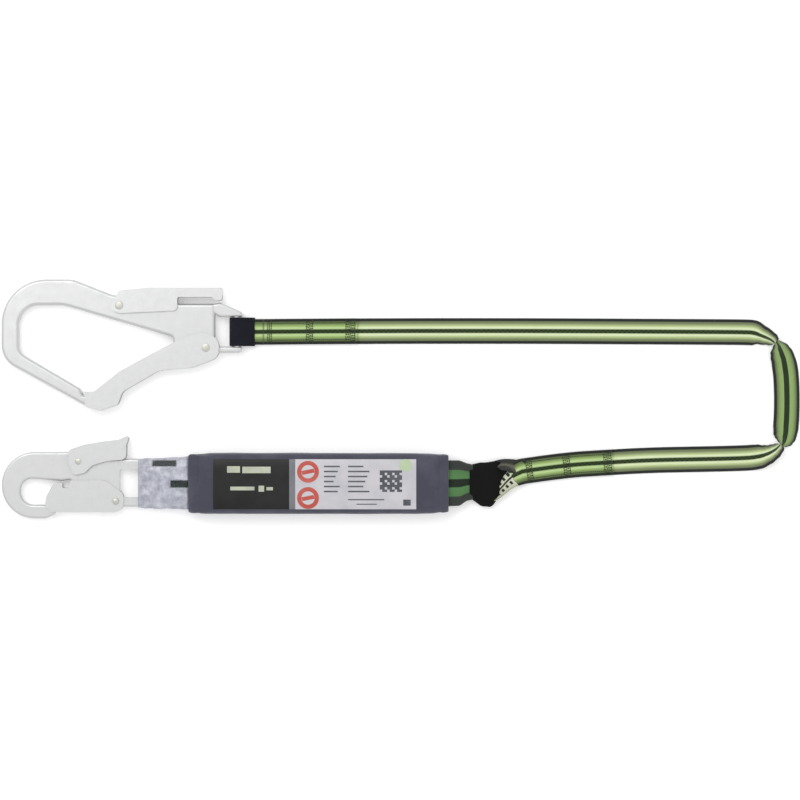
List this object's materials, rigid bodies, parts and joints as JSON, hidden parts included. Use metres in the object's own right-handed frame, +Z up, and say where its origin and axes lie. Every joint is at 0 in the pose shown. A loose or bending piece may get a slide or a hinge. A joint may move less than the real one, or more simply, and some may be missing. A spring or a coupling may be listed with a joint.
{
  "type": "shock absorbing lanyard",
  "caption": "Webbing safety lanyard with a large scaffold hook, a small snap hook and a folded webbing energy absorber between them.",
  "frame": {"origin": "on the resting surface, under the middle of the box round the two hooks and the absorber", "axes": "+X from the hooks towards the bend of the strap, +Y from the absorber towards the scaffold hook, +Z up from the resting surface"},
  "size_m": [0.8661, 0.26, 0.0324],
  "materials": {
    "hook_steel": "forged steel, bright zinc plated, satin",
    "sheet_steel": "folded sheet steel, bright zinc plated, satin",
    "rivet_steel": "upset rivet ends",
    "spring_steel": "drawn spring wire",
    "cover_fabric": "dark slate coated woven cover, slight sheen",
    "inner_film": "thin milky film",
    "tear_webbing": "green tear webbing",
    "thread": "dark sewing thread",
    "loop_webbing": "green webbing with a dark centre stripe and dark edges",
    "clear_film": "milky clear shrink film",
    "boot_fabric": "black tubular webbing",
    "label_black": "black printed label",
    "label_grey": "grey label border",
    "label_white": "pale printed label",
    "strap_webbing": "lime webbing with black edges and a dark centre stripe",
    "sleeve_fabric": "navy black tubular webbing"
  },
  "bodies": {
    "lanyard": {"absorber_cover": "cover_fabric", "inner_wrap": "inner_film", "tear_webbing": "tear_webbing", "tear_stitches": "thread", "snap_end_loop": "loop_webbing", "link_end_loop": "loop_webbing", "film_sleeve": "clear_film", "link_boot": "boot_fabric", "label_black": "label_black", "label_divider": "label_grey", "label_white": "label_white", "strap": "strap_webbing", "hook_end_loop": "strap_webbing", "link_loop": "strap_webbing", "hook_end_sleeve": "sleeve_fabric", "hook_end_stitches": "thread", "link_end_stitches": "thread"},
    "scaffold_hook": {"scaffold_body": "hook_steel", "scaffold_gate_rivet": "rivet_steel", "scaffold_lever_rivet": "rivet_steel", "scaffold_gate_spring": "spring_steel", "scaffold_lever_spring": "spring_steel"},
    "scaffold_gate": {"scaffold_gate": "sheet_steel"},
    "scaffold_lever": {"scaffold_lever": "sheet_steel"},
    "snap_hook": {"snap_body": "hook_steel", "snap_gate_rivet": "rivet_steel", "snap_lever_rivet": "rivet_steel", "snap_gate_spring": "spring_steel", "snap_lever_spring": "spring_steel"},
    "snap_gate": {"snap_gate": "sheet_steel"},
    "snap_lever": {"snap_lever": "sheet_steel"}
  },
  "joints": [
    {"name": "scaffold_hook_swing", "type": "hinge", "parent": "lanyard", "child": "scaffold_hook", "pos_m": [-0.0145, 0.073, 0.008], "axis": [0, 1, 0], "range_deg": [-100, 100]},
    {"name": "scaffold_gate_hinge", "type": "hinge", "parent": "scaffold_hook", "child": "scaffold_gate", "pos_m": [-0.0475, 0.0555, 0.008], "axis": [0, 0, 1], "range_deg": [-30, 0], "stiffness_Nm_per_rad": 0.6, "springref_deg": 20.05},
    {"name": "scaffold_lever_hinge", "type": "hinge", "parent": "scaffold_hook", "child": "scaffold_lever", "pos_m": [-0.1415, 0.1015, 0.008], "axis": [0, 0, 1], "range_deg": [-3.4, 0], "stiffness_Nm_per_rad": 0.8, "springref_deg": 5.73},
    {"name": "snap_hook_swing", "type": "hinge", "parent": "lanyard", "child": "snap_hook", "pos_m": [-0.114, -0.0915, 0.0072], "axis": [0, 1, 0], "range_deg": [-90, 90]},
    {"name": "snap_gate_hinge", "type": "hinge", "parent": "snap_hook", "child": "snap_gate", "pos_m": [-0.1455, -0.111, 0.0072], "axis": [0, 0, 1], "range_deg": [-18, 0], "stiffness_Nm_per_rad": 0.25, "springref_deg": 20.05},
    {"name": "snap_lever_hinge", "type": "hinge", "parent": "snap_hook", "child": "snap_lever", "pos_m": [-0.186, -0.068, 0.0072], "axis": [0, 0, 1], "range_deg": [-8, 0], "stiffness_Nm_per_rad": 0.25, "springref_deg": 11.46}
  ],
  "couplings": [
    {"joint": "scaffold_lever_hinge", "follows": "scaffold_gate_hinge", "ratio": 0.1133},
    {"joint": "snap_lever_hinge", "follows": "snap_gate_hinge", "ratio": 0.4444}
  ]
}
